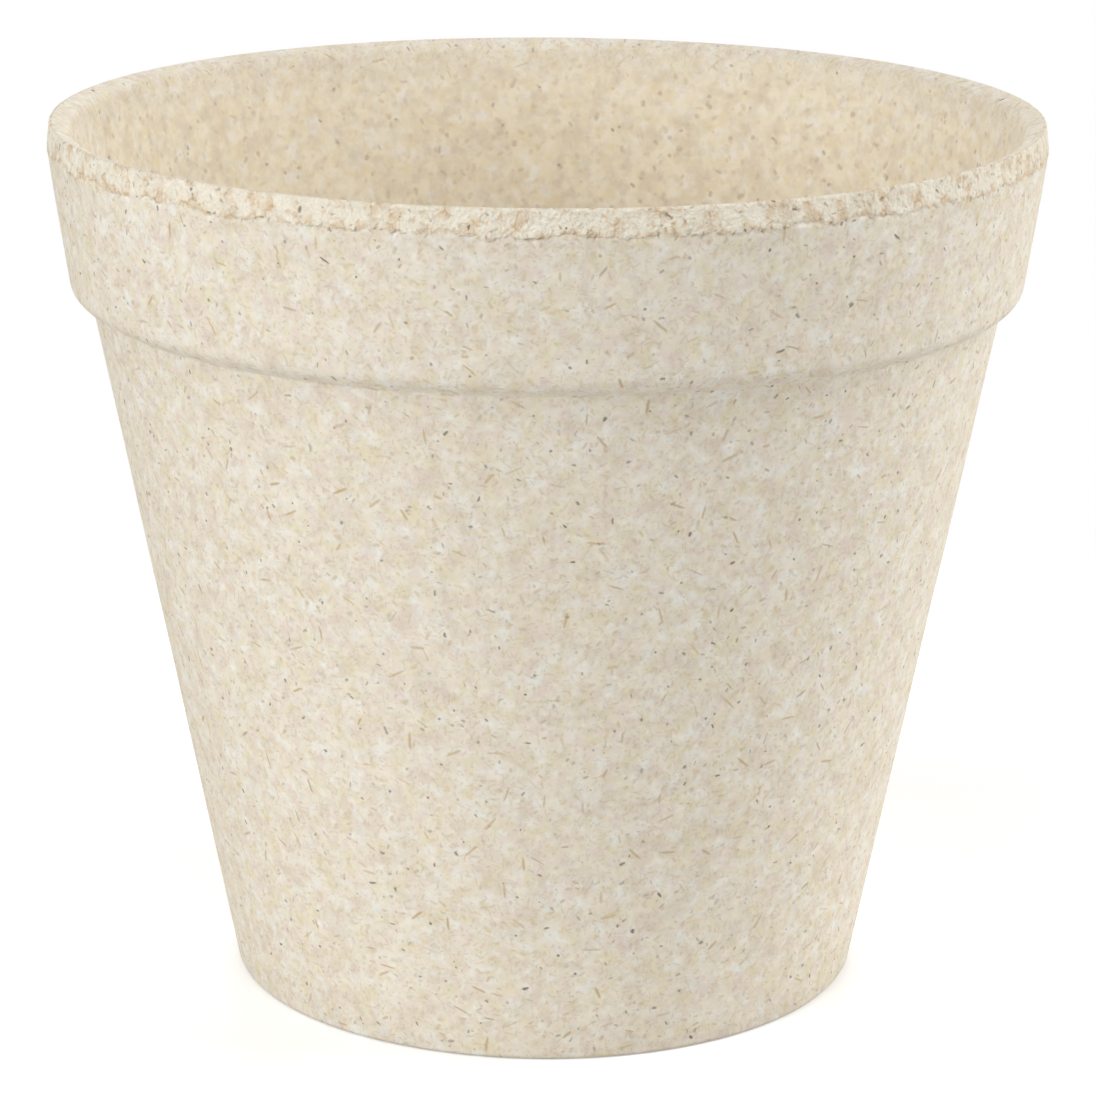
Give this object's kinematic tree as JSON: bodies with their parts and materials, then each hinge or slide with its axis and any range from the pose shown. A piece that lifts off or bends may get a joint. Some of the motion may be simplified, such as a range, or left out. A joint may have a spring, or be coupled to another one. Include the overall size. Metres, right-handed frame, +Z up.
{
  "type": "flower pot",
  "caption": "Small tapered flower pot with a collar round its mouth, pressed in one piece from pale wood fibre, for a seedling or a small plant.",
  "frame": {"origin": "middle of the flat underside", "axes": "+Z up along the pot's axis, from the underside to the mouth; the pot is round, so +X and +Y have no front of their own"},
  "size_m": [0.065, 0.065, 0.0576],
  "materials": {
    "wood_fibre": "matte pressed fibre, mottled cream with tan slivers and dark specks"
  },
  "bodies": {
    "root": {"pot": "wood_fibre"}
  },
  "joints": []
}
